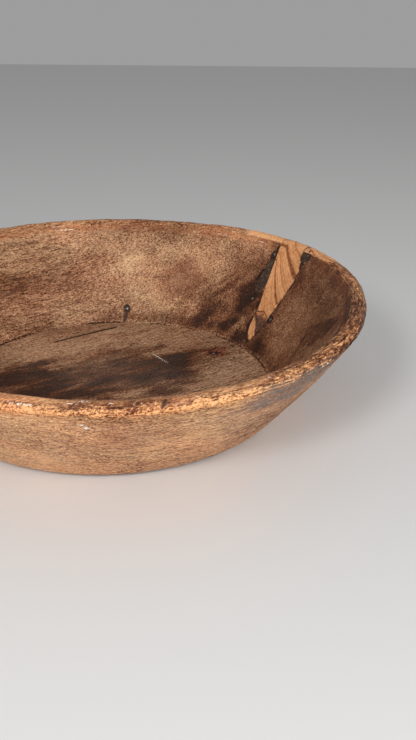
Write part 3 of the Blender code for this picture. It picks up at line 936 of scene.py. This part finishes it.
# New wood. The wedge, its sliver and the rim slip are a paler, orange hardwood, planed and sanded, with
# growth lines that climb across the wedge and run along the slip.
NEW_GRAIN_ANGLE = 36
GROWTH_FIRST, GROWTH_SPAN = -2, 6
GROWTH_LOW = ((30, 0.50), (33, 0.56), (36, 0.65), (38, 0.73), (40, 0.85))
GROWTH_HIGH = ((29.5, 0.77), (33, 0.83), (35.5, 0.88), (38, 0.96), (39, 1.00))


def growth_layer(piece, along_rim=False):
    """Stores how far each vertex is across the growth lines, and how close it is to the piece's edge.

    The lines are numbered from 0 on the lower curve to 1 on the higher one, and the numbers of the whole
    span are stored between 0 and 1.
    """
    angle, radius, height = true_section(vertices_of(piece))
    turn = np.degrees(angle)
    from_foot = np.stack([radius, height], axis=1) - wall_foot
    share = from_foot @ wall_rise / wall_length**2
    low, high = (np.interp(turn, *zip(*curve)) for curve in (GROWTH_LOW, GROWTH_HIGH))
    lines = (share - low) / (high - low)
    if along_rim:
        lines = (radius - lip_middle[0]) / 0.010 + 0.5 + 0.3 * np.sin(turn / 3)
    edge = np.minimum(outline_distance(turn, share, WEDGE), outline_distance(turn, share, TIP))
    number = (lines - GROWTH_FIRST) / GROWTH_SPAN
    point_layer(piece, "growth", number, ease(edge, 0.0028, 0.0004), ease(turn, 33, 40))


for piece in (wedge, tip, slip):
    growth_layer(piece, piece is slip)
new_wood = bpy.data.materials.new("sanded_new_hardwood")
new_wood.use_nodes = True
tree = new_wood.node_tree
shader = tree.nodes["Principled BSDF"]
shader.inputs["Specular IOR Level"].default_value = 0.3
shader.inputs["Roughness"].default_value = 0.55
stored_lines, stored_edge, stored_left = layer(tree, "growth")[:3]
crumbs = grown_noise(tree, (0.0035, 0.0016, 0.0026), 2, 0.7, NEW_GRAIN_ANGLE)
clouds = grown_noise(tree, (0.020, 0.020, 0.030), 4, 0.6, NEW_GRAIN_ANGLE)

# Fine and broad growth lines, four of them dark, on wood that sanding has left crumbly. The wood is darker
# along its joints, less so on the left. Each line's number, width and darkness are given.
wavy = swayed(tree, stored_lines, clouds, 0.03)
across = add(tree, "CombineXYZ", (wavy,))
fine_lines = add(tree, "TexNoise", {0: across, "Scale": 62.0, "Detail": 2.0, "Roughness": 0.6})
broad_lines = add(tree, "TexNoise", {0: across, "Scale": 17.0, "Detail": 1.0, "Roughness": 0.5})
value = 0.33
for pattern, strength in ((fine_lines, 0.95), (broad_lines, 0.55), (crumbs, 0.95), (clouds, 0.35)):
    value = swayed(tree, value, pattern, strength)
for line_place, width, strength in (
    (0.0, 0.09, 0.42),
    (0.43, 0.06, 0.26),
    (1.0, 0.15, 0.42),
    (1.5, 0.08, 0.30),
):
    number = (line_place - GROWTH_FIRST) / GROWTH_SPAN
    gap = add(tree, "Math", (wavy, number), operation="SUBTRACT")
    gap = add(tree, "Math", (gap,), operation="ABSOLUTE")
    dark_line = add(tree, "MapRange", (gap, width / GROWTH_SPAN, 0.0, 0.0, strength), **SMOOTH)
    value = add(tree, "Math", (value, dark_line), operation="ADD")
ORANGES = ((0.0, "EAB080"), (0.35, "D0905D"), (0.65, "A46438"), (1.0, "5E351F"))
colour = add(tree, "ValToRGB", (value,), stops=ORANGES)
edge_darkening = broken(tree, stored_edge, crumbs, 1.2, 0.62, 1.0)
less_left = add(tree, "MapRange", (stored_left, 0.0, 1.0, 0.8, 0.35), **SMOOTH)
edge_darkening = add(tree, "Math", (edge_darkening, less_left), operation="MULTIPLY")
colour = add(tree, "Mix", {0: edge_darkening, 6: colour, 7: "5A3A28"}, COLOUR, **COLOURS)
tree.links.new(colour, shader.inputs["Base Color"])
relief = add(tree, "Math", (crumbs, fine_lines), operation="ADD")
bump = add(tree, "Bump", {"Strength": 0.4, "Distance": 0.0006, "Height": relief})
tree.links.new(bump, shader.inputs["Normal"])
finished(wedge, new_wood, "new_wood", "wedge_patch")
finished(tip, new_wood, "new_wood", "patch_tip")
finished(slip, new_wood, "new_wood", "rim_slip")

# Fillings. The red plug is a scrap of reddish wood, darker towards its foot. The filler is dark resin
# with sawdust in it, pressed in by hand, dull and left rough. The nails are rusted iron, brown in their
# hollows and rubbed to a dull shine on top.
DARK_FOOT_FROM, DARK_FOOT_TO = 0.0415, 0.0350


def lumpy(name, stops, roughness, size, relief, metallic=0.0, dark_foot=False):
    """A material of mixed lumps: noise through a colour ramp, with the same relief.

    On request the piece gets darker towards its foot, by a smooth step of the height.
    """
    made = bpy.data.materials.new(name)
    made.use_nodes = True
    tree = made.node_tree
    shader = tree.nodes["Principled BSDF"]
    shader.inputs["Roughness"].default_value = roughness
    shader.inputs["Metallic"].default_value = metallic
    lumps = grown_noise(tree, (size, size, size), 4, 0.7)
    stretched = add(tree, "MapRange", (lumps, 0.25, 0.75), **SMOOTH)
    if dark_foot:
        up = add(tree, "SeparateXYZ", (add(tree, "TexCoord", output=OBJECT_PLACE),), 2)
        foot_darkening = add(tree, "MapRange", (up, DARK_FOOT_FROM, DARK_FOOT_TO, -0.35, 0.25), **SMOOTH)
        stretched = add(tree, "Math", (stretched, foot_darkening), operation="ADD")
    tree.links.new(add(tree, "ValToRGB", (stretched,), stops=stops), shader.inputs["Base Color"])
    bump = add(tree, "Bump", {"Strength": 0.7, "Distance": relief, "Height": lumps})
    tree.links.new(bump, shader.inputs["Normal"])
    return made


REDS = ((0.0, "C8824E"), (0.40, "7E4B33"), (1.0, "2C1D17"))
DARKS = ((0.0, "7C6048"), (0.30, "44301F"), (1.0, "1A100B"))
IRONS = ((0.0, "B0A79D"), (0.5, "6E645B"), (1.0, "2E2520"))
red_wood = lumpy("scrap_red_wood", REDS, roughness=0.65, size=0.0040, relief=0.0012, dark_foot=True)
filler = lumpy("resin_and_sawdust", DARKS, roughness=0.8, size=0.0030, relief=0.0018)
iron = lumpy("rubbed_rusty_iron", IRONS, roughness=0.42, size=0.0016, relief=0.0003, metallic=0.5)
finished(plug, red_wood, "red_plug", "notch_plug")
finished(chip_fill, filler, "dark_filler", "lip_filler")
finished(seam_fill, filler, "dark_filler", "seam_filler")
for name, nail in nails.items():
    finished(nail, iron, "old_iron", name)

# The stage. A plain pale table top in a pale room, with a soft key light from the front left and above
# and a broad fill light from the front right. The camera looks down into the bowl from in front.
TABLE_SIZE = 6.0
LIGHT_DISTANCE = 1.8
mesh = bpy.data.meshes.new("table_top")
half = TABLE_SIZE / 2
mesh.from_pydata([(-half, -half, 0), (half, -half, 0), (half, half, 0), (-half, half, 0)], [], [(0, 1, 2, 3)])
table = bpy.data.objects.new("table_top", mesh)
bpy.context.scene.collection.objects.link(table)
stone = bpy.data.materials.new("pale_table")
stone.use_nodes = True
shader = stone.node_tree.nodes["Principled BSDF"]
shader.inputs["Base Color"].default_value = shade("D8D8D8")
shader.inputs["Roughness"].default_value = 0.55
mesh.materials.append(stone)

world = bpy.data.worlds.new("pale_room")
world.use_nodes = True
world.node_tree.nodes["Background"].inputs["Color"].default_value = (1.0, 1.0, 1.0, 1.0)
world.node_tree.nodes["Background"].inputs["Strength"].default_value = 0.34
bpy.context.scene.world = world


def soft_light(name, azimuth, rise, size, power, colour):
    """A square light that looks at the bowl from a compass direction and a height, in degrees."""
    made = bpy.data.lights.new(name, "AREA")
    made.size, made.energy, made.color = size, power, colour
    azimuth, rise = math.radians(azimuth), math.radians(rise)
    way = Vector((math.cos(azimuth) * math.cos(rise), math.sin(azimuth) * math.cos(rise), math.sin(rise)))
    placed = bpy.data.objects.new(name, made)
    placed.location = way * LIGHT_DISTANCE
    placed.rotation_euler = (-way).to_track_quat("-Z", "Y").to_euler()
    bpy.context.scene.collection.objects.link(placed)


soft_light("key_light", 248, 35, 0.4, 14, (1.0, 0.985, 0.96))
soft_light("fill_light", 300, 24, 1.2, 23, (1.0, 1.0, 1.0))

CAMERA_PLACE = (0.0841, -0.7006, 0.3403)
CAMERA_PITCH = 24.453
CAMERA_ROLL = 0.51
CAMERA_LENS = 42.47
camera = bpy.data.cameras.new("camera")
camera.sensor_fit = "VERTICAL"
camera.sensor_height = 36
camera.lens = CAMERA_LENS
camera_object = bpy.data.objects.new("camera", camera)
camera_object.matrix_world = (
    Matrix.Translation(CAMERA_PLACE)
    @ Matrix.Rotation(math.radians(90 - CAMERA_PITCH), 4, "X")
    @ Matrix.Rotation(math.radians(CAMERA_ROLL), 4, "Z")
)
bpy.context.scene.collection.objects.link(camera_object)
bpy.context.scene.camera = camera_object
bpy.context.scene.view_settings.view_transform = "Standard"
